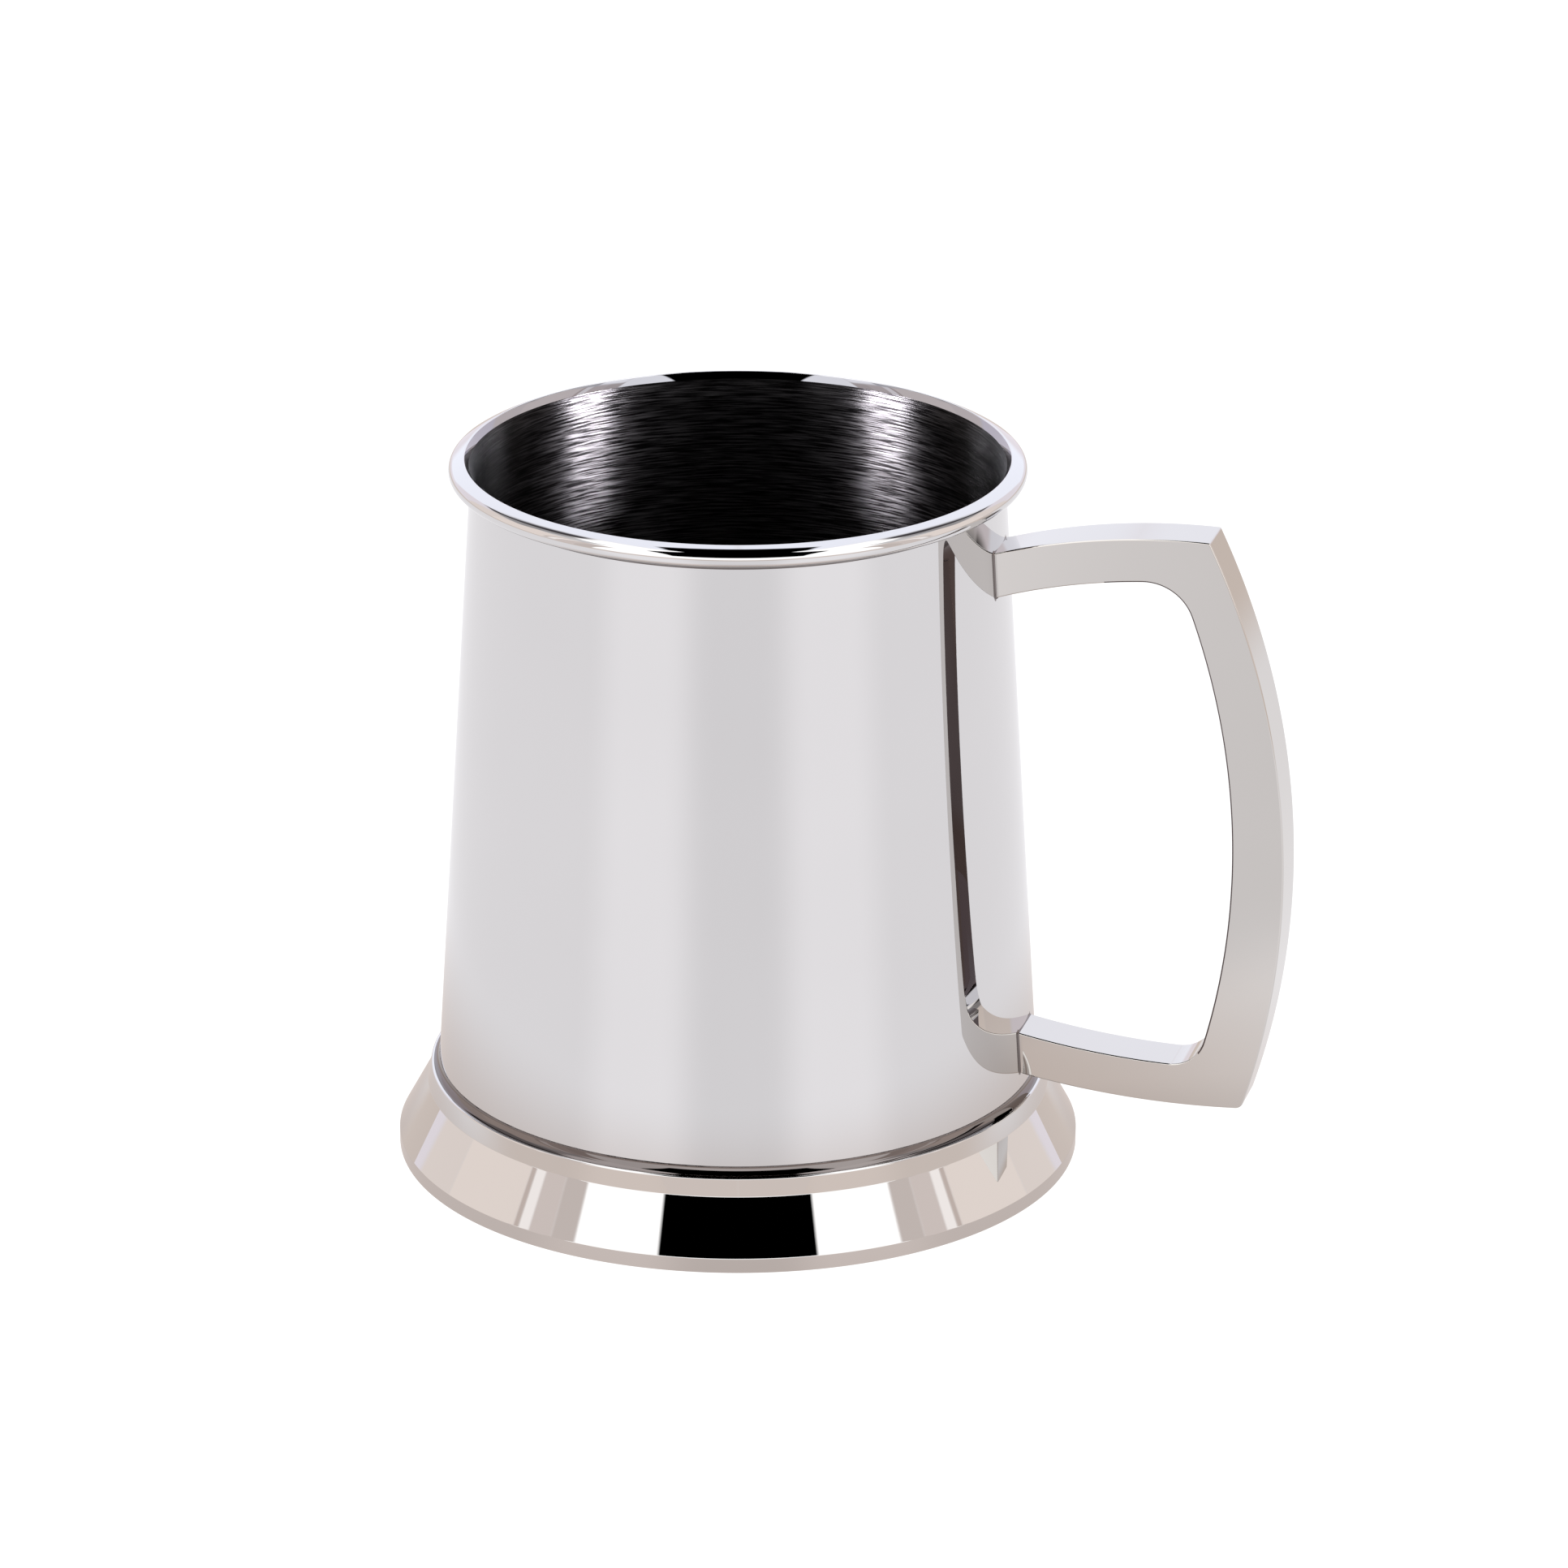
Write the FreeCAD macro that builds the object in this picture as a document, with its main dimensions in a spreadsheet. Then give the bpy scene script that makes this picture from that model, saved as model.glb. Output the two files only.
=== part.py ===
import FreeCAD, Part
import math
import os
import re
import Sketcher

# A one-pint tankard: a tapered sheet-metal body with a wired rim, standing on a hollow spun
# foot, with a flat floor let into its lower end and a cast bar handle soldered on at two ends.
# Frame: millimetres, +Z up the body's axis, z = 0 on the foot's underside, handle along +X.

# Driving dimensions. The wall's outer radius at a height is wall_radius - wall_taper * height.
DIMENSIONS = {
    "wall_radius": 47.217,
    "wall_taper": 0.06159,
    "wall_bottom": 9.0,
    "wall_gauge": 0.8,
    "bead_centre_radius": 42.5,
    "bead_centre_height": 109.8,
    "bead_radius": 1.3,
    "wire_tunnel_radius": 0.7,
    "wire_radius": 0.68,
    "bevel_angle": 67.0,
    "bead_outer_angle": 326.0,
    "hem_end_angle": 225.0,
    "hem_start_angle": 205.0,
    "tunnel_top_angle": 90.0,
    "tunnel_outer_angle": 335.0,
    "lip_radius": 41.45,
    "lip_height": 111.66,
    "lip_round": 0.25,
    "flare_outer_height": 107.5,
    "flare_outer_round": 2.05,
    "flare_inner_height": 106.6,
    "flare_inner_round": 6.9,
    "floor_underside": 9.6,
    "floor_gauge": 1.2,
    "floor_solder_leg": 0.55,
    "foot_radius": 52.7,
    "foot_lip_height": 2.3,
    "foot_band_radius": 48.2,
    "foot_band_bottom": 10.5,
    "foot_top_radius": 47.6,
    "foot_top": 13.3,
    "skirt_lower_radius": 51.5,
    "skirt_lower_height": 2.0,
    "skirt_upper_radius": 47.65,
    "foot_edge_round": 0.3,
    "foot_solder_radius": 47.25,
    "foot_solder_top": 14.7,
    "handle_width": 8.0,
    "handle_stub_radius": 37.0,
    "grip_centre_x": -35.65,
    "grip_centre_height": 51.9,
    "grip_radius": 122.0,
    "palm_centre_height": 54.4,
    "palm_radius": 114.0,
    "upper_arm_centre_x": 71.5,
    "upper_arm_centre_height": 4.5,
    "upper_arm_radius": 101.2,
    "upper_arm_depth": 6.8,
    "lower_arm_centre_x": 71.0,
    "lower_arm_centre_height": 152.8,
    "lower_arm_radius": 138.0,
    "lower_arm_depth": 6.5,
    "upper_palm_round": 7.5,
    "lower_palm_round": 5.5,
    "heel_round": 1.3,
    "shoulder_round": 0.35,
    "handle_edge_bevel": 0.2,
    "joint_film": 0.25,
    "joint_proud": 0.4,
    "joint_reach": 6.0,
    "upper_joint_bottom": 93.9,
    "upper_joint_top": 100.8,
    "lower_joint_bottom": 17.0,
    "lower_joint_top": 23.9,
}

# How near an edge has to lie to the place that picks it out, in millimetres.
RING_TOLERANCE = 0.01
CORNER_TOLERANCE = 0.05
FLAT_TOLERANCE = 0.001

doc = FreeCAD.newDocument("Tankard")
sheet = doc.addObject("Spreadsheet::Sheet", "Sizes")
for row, (alias, number) in enumerate(DIMENSIONS.items(), start=1):
    sheet.set(f"A{row}", alias)
    sheet.set(f"B{row}", str(number))
    sheet.setAlias(f"B{row}", alias)
probe = doc.addObject("App::FeaturePython", "Probe")
probe.addProperty("App::PropertyFloat", "Result")
doc.recompute()


def bound(formula):
    """The formula with each dimension's name pointing at its cell in the sheet."""
    return re.sub(
        r"[a-z_]+",
        lambda word: "Sizes." + word[0] if word[0] in DIMENSIONS else word[0],
        formula,
    )


def measure(formula):
    """The number that a formula comes to, read off an object that is bound to it."""
    probe.setExpression("Result", bound(formula))
    probe.recompute()
    return probe.Result


def bind(item, **formulas):
    """Bind properties of a document object to formulas."""
    for name, formula in formulas.items():
        item.setExpression(name, bound(formula))


# ---- Profiles: closed sketches in a body's XZ plane, sketch x as radius and y as height ----

def new_body(label):
    body = doc.addObject("PartDesign::Body", label)
    body.Label = label
    return body


def new_sketch(body, name, role="XZ_Plane"):
    plane = next(item for item in body.Origin.OriginFeatures if item.Role == role)
    sketch = body.newObject("Sketcher::SketchObject", name)
    sketch.AttachmentSupport = [(plane, "")]
    sketch.MapMode = "FlatFace"
    return sketch


def pin_point(sketch, edge, end, x, y):
    """Fix one point of the sketch at a place given by two formulas."""
    for kind, formula in (("DistanceX", x), ("DistanceY", y)):
        value = measure(formula)
        if value < 0:
            rule = Sketcher.Constraint(kind, edge, end, -1, 1, -value)
            formula = f"-({formula})"
        else:
            rule = Sketcher.Constraint(kind, -1, 1, edge, end, value)
        index = sketch.addConstraint(rule)
        sketch.setExpression(f"Constraints[{index}]", bound(formula))


def set_radius(sketch, edge, formula):
    index = sketch.addConstraint(Sketcher.Constraint("Radius", edge, measure(formula)))
    sketch.setExpression(f"Constraints[{index}]", bound(formula))


def arc_through(start, end, radius, side):
    """The short arc from start to end, with its centre to the left (+1) or the right (-1)."""
    chord = end - start
    middle = (start + end) * 0.5
    left = FreeCAD.Vector(-chord.y, chord.x, 0).normalize()
    centre = middle + left * side * math.sqrt(radius**2 - (chord.Length / 2) ** 2)
    first, last = (start, end) if side > 0 else (end, start)
    angles = [math.atan2(point.y - centre.y, point.x - centre.x) for point in (first, last)]
    circle = Part.Circle(centre, FreeCAD.Vector(0, 0, 1), radius)
    return Part.ArcOfCircle(circle, angles[0], angles[1])


def outline(body, name, corners, arcs=None):
    """A closed sketch through the corners. For the edge that leaves a corner, arcs may give
    a radius and the side of its centre; every other edge is straight."""
    arcs = arcs or {}
    sketch = new_sketch(body, name)
    points = [FreeCAD.Vector(measure(x), measure(y), 0) for x, y in corners]
    ends = []
    for edge, start in enumerate(points):
        end = points[(edge + 1) % len(points)]
        if edge in arcs:
            radius, side = arcs[edge]
            sketch.addGeometry(arc_through(start, end, measure(radius), side))
            ends.append((1, 2) if side > 0 else (2, 1))
        else:
            sketch.addGeometry(Part.LineSegment(start, end))
            ends.append((1, 2))
    for edge in range(len(points)):
        following = (edge + 1) % len(points)
        joint = (edge, ends[edge][1], following, ends[following][0])
        sketch.addConstraint(Sketcher.Constraint("Coincident", *joint))
    for edge, (x, y) in enumerate(corners):
        pin_point(sketch, edge, ends[edge][0], x, y)
    for edge, (radius, side) in arcs.items():
        set_radius(sketch, edge, radius)
    return sketch


def spin(body, sketch, kind="PartDesign::Revolution", name="Spin"):
    """Turn a profile once round the body's axis."""
    turned = body.newObject(kind, name)
    turned.Profile = (sketch, [""])
    turned.ReferenceAxis = (sketch, ["V_Axis"])
    turned.Angle = 360
    doc.recompute()
    return turned


def dress_edges(body, base, size, chosen, name, kind="Fillet"):
    """Round or bevel the edges of base that the test chosen(edge) accepts."""
    edges = [f"Edge{i}" for i, edge in enumerate(base.Shape.Edges, start=1) if chosen(edge)]
    if not edges:
        raise ValueError(f"{body.Label}: {name} finds no edge to dress")
    dressing = body.newObject("PartDesign::" + kind, name)
    dressing.Base = (base, edges)
    dressing.setExpression("Radius" if kind == "Fillet" else "Size", bound(size))
    doc.recompute()
    return dressing


def ring_edge_at(places):
    """A test for the circular edges at the given pairs of radius and height."""
    def chosen(edge):
        if not hasattr(edge.Curve, "Radius"):
            return False
        here = (edge.Curve.Radius, edge.Curve.Center.z)
        return any(math.dist(here, place) < RING_TOLERANCE for place in places)
    return chosen


def wall_outside(height):
    return f"wall_radius - wall_taper * ({height})"


def wall_inside(height):
    return f"{wall_outside(height)} - wall_gauge"


# ---- Body wall: one tapered sheet, its top flared and curled outward round the rim wire ----

def bead_point(radius, angle):
    return (
        f"bead_centre_radius + {radius} * cos({angle} * 1 deg)",
        f"bead_centre_height + {radius} * sin({angle} * 1 deg)",
    )


body_wall = new_body("body_wall")
wall_corners = [
    (wall_outside("wall_bottom"), "wall_bottom"),
    (wall_outside("flare_outer_height"), "flare_outer_height"),
    bead_point("wire_tunnel_radius", "hem_start_angle"),
    bead_point("wire_tunnel_radius", "tunnel_top_angle"),
    bead_point("wire_tunnel_radius", "tunnel_outer_angle"),
    bead_point("wire_tunnel_radius", "hem_end_angle"),
    bead_point("bead_radius", "hem_end_angle"),
    bead_point("bead_radius", "bead_outer_angle"),
    bead_point("bead_radius", "bevel_angle"),
    ("lip_radius", "lip_height"),
    (wall_inside("flare_inner_height"), "flare_inner_height"),
    (wall_inside("wall_bottom"), "wall_bottom"),
]
wall_arcs = {
    1: ("flare_outer_round", -1),
    2: ("wire_tunnel_radius", -1),
    3: ("wire_tunnel_radius", -1),
    4: ("wire_tunnel_radius", -1),
    6: ("bead_radius", 1),
    7: ("bead_radius", 1),
    9: ("flare_inner_round", 1),
}
wall_spin = spin(body_wall, outline(body_wall, "WallProfile", wall_corners, wall_arcs))
lip_edge = (measure("lip_radius"), measure("lip_height"))
dress_edges(body_wall, wall_spin, "lip_round", ring_edge_at([lip_edge]), "LipRound")

# ---- Rim wire: the round core that the sheet is closed over ----

rim_wire = doc.addObject("Part::Torus", "rim_wire")
rim_wire.Label = "rim_wire"
bind(rim_wire, Radius1="bead_centre_radius", Radius2="wire_radius")
rim_wire.setExpression("Placement.Base.z", bound("bead_centre_height"))

# ---- Floor: a flat disc let into the wall, soldered from underneath ----

FLOOR_TOP = "floor_underside + floor_gauge"
floor_disc = new_body("floor_disc")
floor_corners = [
    ("0", "floor_underside"),
    (wall_inside("floor_underside"), "floor_underside"),
    (wall_inside(FLOOR_TOP), FLOOR_TOP),
    ("0", FLOOR_TOP),
]
spin(floor_disc, outline(floor_disc, "FloorProfile", floor_corners))

floor_solder = new_body("floor_solder")
SOLDER_FOOT = "floor_underside - floor_solder_leg"
floor_solder_corners = [
    (wall_inside("floor_underside"), "floor_underside"),
    (wall_inside("floor_underside") + " - floor_solder_leg", "floor_underside"),
    (wall_inside(SOLDER_FOOT), SOLDER_FOOT),
]
spin(floor_solder, outline(floor_solder, "SolderProfile", floor_solder_corners))

# ---- Foot: a hollow spun skirt with an upright lip and a collar that sleeves the wall ----

foot_ring = new_body("foot_ring")
foot_corners = [
    ("skirt_lower_radius", "0"),
    ("foot_radius", "0"),
    ("foot_radius", "foot_lip_height"),
    ("foot_band_radius", "foot_band_bottom"),
    ("foot_top_radius", "foot_top"),
    (wall_outside("foot_top"), "foot_top"),
    (wall_outside("wall_bottom"), "wall_bottom"),
    ("skirt_upper_radius", "wall_bottom"),
    ("skirt_lower_radius", "skirt_lower_height"),
]
foot_spin = spin(foot_ring, outline(foot_ring, "FootProfile", foot_corners))
foot_edges = [(measure(x), measure(y)) for x, y in foot_corners[2:5]]
dress_edges(foot_ring, foot_spin, "foot_edge_round", ring_edge_at(foot_edges), "EdgeRounds")

foot_solder = new_body("foot_solder")
foot_solder_corners = [
    (wall_outside("foot_top"), "foot_top"),
    ("foot_solder_radius", "foot_top"),
    (wall_outside("foot_solder_top"), "foot_solder_top"),
]
spin(foot_solder, outline(foot_solder, "SolderProfile", foot_solder_corners))

# ---- Handle: a flat-sided bar in one piece, two bowed arms and a bowed grip ----
# Each side of the outline is an arc given by its centre and radius, and the corners are
# where neighbouring arcs cross. Both arms run on to a stub line inside the wall.

HANDLE_ARCS = [
    ("upper_arm_centre_x", "upper_arm_centre_height", "upper_arm_radius"),
    ("grip_centre_x", "grip_centre_height", "grip_radius"),
    ("lower_arm_centre_x", "lower_arm_centre_height", "lower_arm_radius"),
    ("lower_arm_centre_x", "lower_arm_centre_height", "lower_arm_radius - lower_arm_depth"),
    ("grip_centre_x", "palm_centre_height", "palm_radius"),
    ("upper_arm_centre_x", "upper_arm_centre_height", "upper_arm_radius - upper_arm_depth"),
]


def circle_of(arc):
    x, y, radius = (measure(formula) for formula in arc)
    return Part.Circle(FreeCAD.Vector(x, y, 0), FreeCAD.Vector(0, 0, 1), radius)


def crossing(first, second):
    """Where two of the outline's circles cross on the grip's side, nearest both arcs' middles."""
    points = [FreeCAD.Vector(p.X, p.Y, 0) for p in first.intersect(second)]
    middle = FreeCAD.Vector(first.Center.x, measure("grip_centre_height"), 0)
    return min(points, key=lambda point: point.distanceToPoint(middle))


def stub_end(circle, above):
    """Where an arm's circle crosses the stub line."""
    stub = measure("handle_stub_radius")
    rise = math.sqrt(circle.Radius**2 - (stub - circle.Center.x) ** 2)
    return FreeCAD.Vector(stub, circle.Center.y + (rise if above else -rise), 0)


def arc_between(circle, start, end):
    """The short arc of a circle between two points, whichever way round they come."""
    angles = [circle.parameter(point) for point in (start, end)]
    turn = (angles[1] - angles[0]) % (2 * math.pi)
    if turn <= math.pi:
        return Part.ArcOfCircle(circle, angles[0], angles[1]), (1, 2)
    return Part.ArcOfCircle(circle, angles[1], angles[0]), (2, 1)


handle = new_body("handle")
handle_sketch = new_sketch(handle, "HandleProfile")
circles = [circle_of(arc) for arc in HANDLE_ARCS]
shoulder = crossing(circles[0], circles[1])
heel = crossing(circles[2], circles[1])
lower_palm = crossing(circles[3], circles[4])
upper_palm = crossing(circles[5], circles[4])
upper_stub = stub_end(circles[0], True)
lower_stub = stub_end(circles[2], False)
lower_stub_inner = stub_end(circles[3], False)
upper_stub_inner = stub_end(circles[5], True)
stations = [
    (upper_stub, shoulder, 0),
    (shoulder, heel, 1),
    (heel, lower_stub, 2),
    (lower_stub, lower_stub_inner, None),
    (lower_stub_inner, lower_palm, 3),
    (lower_palm, upper_palm, 4),
    (upper_palm, upper_stub_inner, 5),
    (upper_stub_inner, upper_stub, None),
]
handle_ends = []
for start, end, number in stations:
    if number is None:
        handle_sketch.addGeometry(Part.LineSegment(start, end))
        handle_ends.append((1, 2))
    else:
        curve, order = arc_between(circles[number], start, end)
        handle_sketch.addGeometry(curve)
        handle_ends.append(order)
for edge in range(len(stations)):
    following = (edge + 1) % len(stations)
    joint = (edge, handle_ends[edge][1], following, handle_ends[following][0])
    handle_sketch.addConstraint(Sketcher.Constraint("Coincident", *joint))
for edge, (start, end, number) in enumerate(stations):
    if number is None:
        handle_sketch.addConstraint(Sketcher.Constraint("Vertical", edge))
        rule = Sketcher.Constraint("DistanceX", -1, 1, edge, 1, start.x)
        index = handle_sketch.addConstraint(rule)
        handle_sketch.setExpression(f"Constraints[{index}]", bound("handle_stub_radius"))
    else:
        x, y, radius = HANDLE_ARCS[number]
        pin_point(handle_sketch, edge, 3, x, y)
        set_radius(handle_sketch, edge, radius)

handle_pad = handle.newObject("PartDesign::Pad", "BarPad")
handle_pad.Profile = (handle_sketch, [""])
handle_pad.Midplane = True
bind(handle_pad, Length="handle_width")
doc.recompute()


def crosswise_edge_at(corner):
    """A test for the edge that runs across the bar at a corner of its outline."""
    def chosen(edge):
        place = edge.CenterOfMass
        return math.dist((place.x, place.z), (corner.x, corner.y)) < CORNER_TOLERANCE
    return chosen


handle_shape = handle_pad
for corner, radius, name in (
    (upper_palm, "upper_palm_round", "UpperPalmRound"),
    (lower_palm, "lower_palm_round", "LowerPalmRound"),
    (heel, "heel_round", "HeelRound"),
    (shoulder, "shoulder_round", "ShoulderRound"),
):
    handle_shape = dress_edges(handle, handle_shape, radius, crosswise_edge_at(corner), name)


def on_flat_side(edge):
    """Edges round the bar's two flat sides, apart from the stub ends inside the wall."""
    side = measure("handle_width") / 2
    offsets = [vertex.Y for vertex in edge.Vertexes] + [edge.CenterOfMass.y]
    on_side = all(abs(abs(offset) - side) < FLAT_TOLERANCE for offset in offsets)
    at_stub = edge.CenterOfMass.x < measure("handle_stub_radius") + FLAT_TOLERANCE
    return on_side and not at_stub


handle_shape = dress_edges(
    handle, handle_shape, "handle_edge_bevel", on_flat_side, "LongEdgeBevels", "Chamfer"
)

# The arms end on the solder films, so a cone round the body's axis is turned away from them.
FILM_OUTSIDE_LOW = "wall_radius + joint_film"
FILM_OUTSIDE_HIGH = "wall_radius + joint_film - wall_taper * lip_height"
trim_corners = [
    ("0", "0"),
    (FILM_OUTSIDE_LOW, "0"),
    (FILM_OUTSIDE_HIGH, "lip_height"),
    ("0", "lip_height"),
]
before_trim = handle_shape.Shape.Volume
trim = spin(handle, outline(handle, "TrimProfile", trim_corners), "PartDesign::Groove", "WallTrim")
if trim.Shape.Volume >= before_trim:
    raise ValueError("handle: the wall trim cuts nothing")

# ---- Handle joints: thin films of solder between the arms' ends and the wall ----

def wall_cone(name, growth):
    """A cone the size of the wall's outside, grown outward, from z = 0 to the rim."""
    cone = doc.addObject("Part::Cone", name)
    bind(
        cone,
        Radius1=f"wall_radius + {growth}",
        Radius2=f"wall_radius + {growth} - wall_taper * lip_height",
        Height="lip_height",
    )
    return cone


def handle_joint(label, bottom, top):
    pad = doc.addObject("Part::Box", label + "_pad")
    bind(
        pad,
        Length="joint_reach * 2",
        Width="handle_width + 2 * joint_proud",
        Height=f"{top} - {bottom} + 2 * joint_proud",
    )
    pad.setExpression("Placement.Base.x", bound("handle_stub_radius"))
    pad.setExpression("Placement.Base.y", bound("-handle_width / 2 - joint_proud"))
    pad.setExpression("Placement.Base.z", bound(f"{bottom} - joint_proud"))
    outside = doc.addObject("Part::Common", label + "_outside")
    outside.Base = pad
    outside.Tool = wall_cone(label + "_film", "joint_film")
    film = doc.addObject("Part::Cut", label)
    film.Base = outside
    film.Tool = wall_cone(label + "_wall", "0")
    film.Label = label
    return film


upper_handle_solder = handle_joint("upper_handle_solder", "upper_joint_bottom", "upper_joint_top")
lower_handle_solder = handle_joint("lower_handle_solder", "lower_joint_bottom", "lower_joint_top")
doc.recompute()

# ---- Check every object, then write one file for each piece ----

PIECES = [
    body_wall,
    rim_wire,
    floor_disc,
    floor_solder,
    foot_ring,
    foot_solder,
    handle,
    upper_handle_solder,
    lower_handle_solder,
]
doc.removeObject(probe.Name)
doc.recompute()
for item in doc.Objects:
    if "Invalid" in item.State or "Error" in item.State:
        raise ValueError(f"{item.Label} failed: {item.State}")
for piece in PIECES:
    if piece.Shape.isNull() or not piece.Shape.isValid() or len(piece.Shape.Solids) != 1:
        raise ValueError(f"{piece.Label} is not one valid solid")

os.makedirs("parts", exist_ok=True)
for piece in PIECES:
    piece.Shape.exportStep(f"parts/{piece.Label}.step")
    box = piece.Shape.BoundBox
    size = f"{box.XLength:.2f} x {box.YLength:.2f} x {box.ZLength:.2f} mm"
    print(f"{piece.Label}: {piece.Shape.Volume:.1f} mm3, {size}")
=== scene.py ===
import math

import bpy
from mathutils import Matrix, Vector


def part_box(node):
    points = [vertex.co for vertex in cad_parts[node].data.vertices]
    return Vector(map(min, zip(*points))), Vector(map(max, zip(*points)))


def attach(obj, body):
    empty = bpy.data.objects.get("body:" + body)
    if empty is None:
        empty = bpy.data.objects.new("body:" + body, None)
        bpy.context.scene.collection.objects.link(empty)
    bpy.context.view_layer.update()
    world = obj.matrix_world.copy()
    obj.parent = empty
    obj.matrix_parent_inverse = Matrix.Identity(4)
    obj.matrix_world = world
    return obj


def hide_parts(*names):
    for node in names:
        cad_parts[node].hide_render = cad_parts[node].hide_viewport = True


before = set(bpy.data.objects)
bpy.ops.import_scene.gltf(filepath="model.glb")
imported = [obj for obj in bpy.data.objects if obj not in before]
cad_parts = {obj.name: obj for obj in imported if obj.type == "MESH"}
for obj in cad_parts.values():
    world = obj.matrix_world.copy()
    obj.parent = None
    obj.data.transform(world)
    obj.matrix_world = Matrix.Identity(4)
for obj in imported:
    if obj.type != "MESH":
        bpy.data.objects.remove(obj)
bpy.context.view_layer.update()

# ---------------------------------------------------------------------------------------
# Body wall. One sheet of tin alloy, rolled to a cone, its top flared and curled outward
# over a wire. It is buffed to a mirror outside and has brush rings inside, where its colour
# is set near black as painted shade for the hollow.

MM = 0.001
FACETS = 288
ARC_STEP = math.radians(4)
WALL_GAUGE = 0.8 * MM
WALL_RADIUS_BELOW = 47.217 * MM
WALL_LEAN = 0.06159
WALL_FOOT_HEIGHT = 9.0 * MM
BEAD_RADIUS = 1.3 * MM
TUNNEL_RADIUS = 0.7 * MM
wire_low, wire_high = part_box("rim_wire")
WIRE_RADIUS = (wire_high.z - wire_low.z) / 2
BEAD_CENTRE = Vector((wire_high.y - WIRE_RADIUS, wire_high.z - WIRE_RADIUS))


def wall_outside(height):
    """The wall's outer radius at a height above the table."""
    return WALL_RADIUS_BELOW - WALL_LEAN * height


def wall_inside(height):
    """The wall's inner radius at a height above the table."""
    return wall_outside(height) - WALL_GAUGE


def straight(start, end):
    """A straight stretch of a turned profile. Metal lies on the left of the way it runs."""
    along = (Vector(end) - Vector(start)).normalized()
    normal = Vector((along.y, -along.x))
    return [(Vector(start), normal), (Vector(end), normal)]


def arc(centre, radius, first, last):
    """A round stretch between two angles in degrees, hollow where the angle falls."""
    first, last = math.radians(first), math.radians(last)
    steps = max(3, math.ceil(abs(last - first) / ARC_STEP))
    outward = 1 if last > first else -1
    stretch = []
    for step in range(steps + 1):
        angle = first + (last - first) * step / steps
        radial = Vector((math.cos(angle), math.sin(angle)))
        stretch.append((Vector(centre) + radial * radius, radial * outward))
    return stretch


def bow(start, end, radius, side):
    """A round stretch from start to end, with its centre on the left (1) or right (-1)."""
    start, end = Vector(start), Vector(end)
    chord = end - start
    left = Vector((-chord.y, chord.x)).normalized()
    rise = math.sqrt(radius ** 2 - chord.length_squared / 4)
    centre = (start + end) / 2 + left * side * rise
    angles = [math.degrees(math.atan2(*reversed(point - centre))) for point in (start, end)]
    turn = (angles[1] - angles[0] + 180) % 360 - 180
    return arc(centre, radius, angles[0], angles[0] + turn)


def lathe(name, stretches, finishes, closed=True):
    """Turn a profile about the upright axis. Each stretch is (finish number, points), and
    its own exact normals go into the mesh, so that reflections run clean across facets."""
    ring, faces, slots, normals = [], [], [], []
    for finish, stretch in stretches:
        for place, (point, normal) in enumerate(stretch):
            if not ring or (ring[-1] - point).length > 1e-7:
                ring.append(point)
            if place:
                faces.append((len(ring) - 2, len(ring) - 1))
                slots.append(finish)
                normals.append((stretch[place - 1][1], normal))
    if closed:
        ring.pop()
        faces[-1] = (faces[-1][0], 0)
    mesh = bpy.data.meshes.new(name)
    vertices, index = [], []
    for point in ring:
        on_axis = point.x < 1e-7
        index.append((len(vertices), on_axis))
        for facet in range(1 if on_axis else FACETS):
            angle = 2 * math.pi * facet / FACETS
            vertices.append((point.x * math.cos(angle), point.x * math.sin(angle), point.y))

    def corner(ring_place, facet):
        base, on_axis = index[ring_place]
        return base if on_axis else base + facet % FACETS

    polygons, corner_normals, polygon_slots = [], [], []
    for (low, high), slot_number, (low_normal, high_normal) in zip(faces, slots, normals):
        for facet in range(FACETS):
            corners = []
            for place, turn, normal in (
                (low, facet, low_normal),
                (low, facet + 1, low_normal),
                (high, facet + 1, high_normal),
                (high, facet, high_normal),
            ):
                vertex = corner(place, turn)
                if vertex in [used for used, _ in corners]:
                    continue
                angle = 2 * math.pi * turn / FACETS
                spun = (normal.x * math.cos(angle), normal.x * math.sin(angle), normal.y)
                corners.append((vertex, spun))
            polygons.append([vertex for vertex, _ in corners])
            corner_normals.extend(spun for _, spun in corners)
            polygon_slots.append(slot_number)
    mesh.from_pydata(vertices, [], polygons)
    mesh.polygons.foreach_set("material_index", polygon_slots)
    mesh.polygons.foreach_set("use_smooth", [True] * len(polygons))
    mesh.normals_split_custom_set(corner_normals)
    return place_piece(name, mesh, finishes)


def place_piece(name, mesh, finishes):
    """Make an object of a finished mesh, give it its finishes and ride it on the one body."""
    piece = bpy.data.objects.new(name, mesh)
    bpy.context.scene.collection.objects.link(piece)
    for finish in finishes:
        mesh.materials.append(finish)
    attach(piece, "root")
    return piece


def add_node(tree, kind, inputs=None, **settings):
    """A shader node with its settings made and its inputs given a value or a socket."""
    node = tree.nodes.new(kind)
    for name, value in settings.items():
        setattr(node, name, value)
    for name, value in (inputs or {}).items():
        if isinstance(value, bpy.types.NodeSocket):
            tree.links.new(value, node.inputs[name])
        else:
            node.inputs[name].default_value = value
    return node


def new_group(name, inputs, outputs):
    """An empty node group. Returns the tree, its entry node and its exit node."""
    group = bpy.data.node_groups.new(name, "ShaderNodeTree")
    for label, value in inputs.items():
        socket = group.interface.new_socket(label, in_out="INPUT", socket_type="NodeSocketFloat")
        socket.default_value = value
    for label in outputs:
        group.interface.new_socket(label, in_out="OUTPUT", socket_type="NodeSocketFloat")
    return group, group.nodes.new("NodeGroupInput"), group.nodes.new("NodeGroupOutput")


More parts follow.
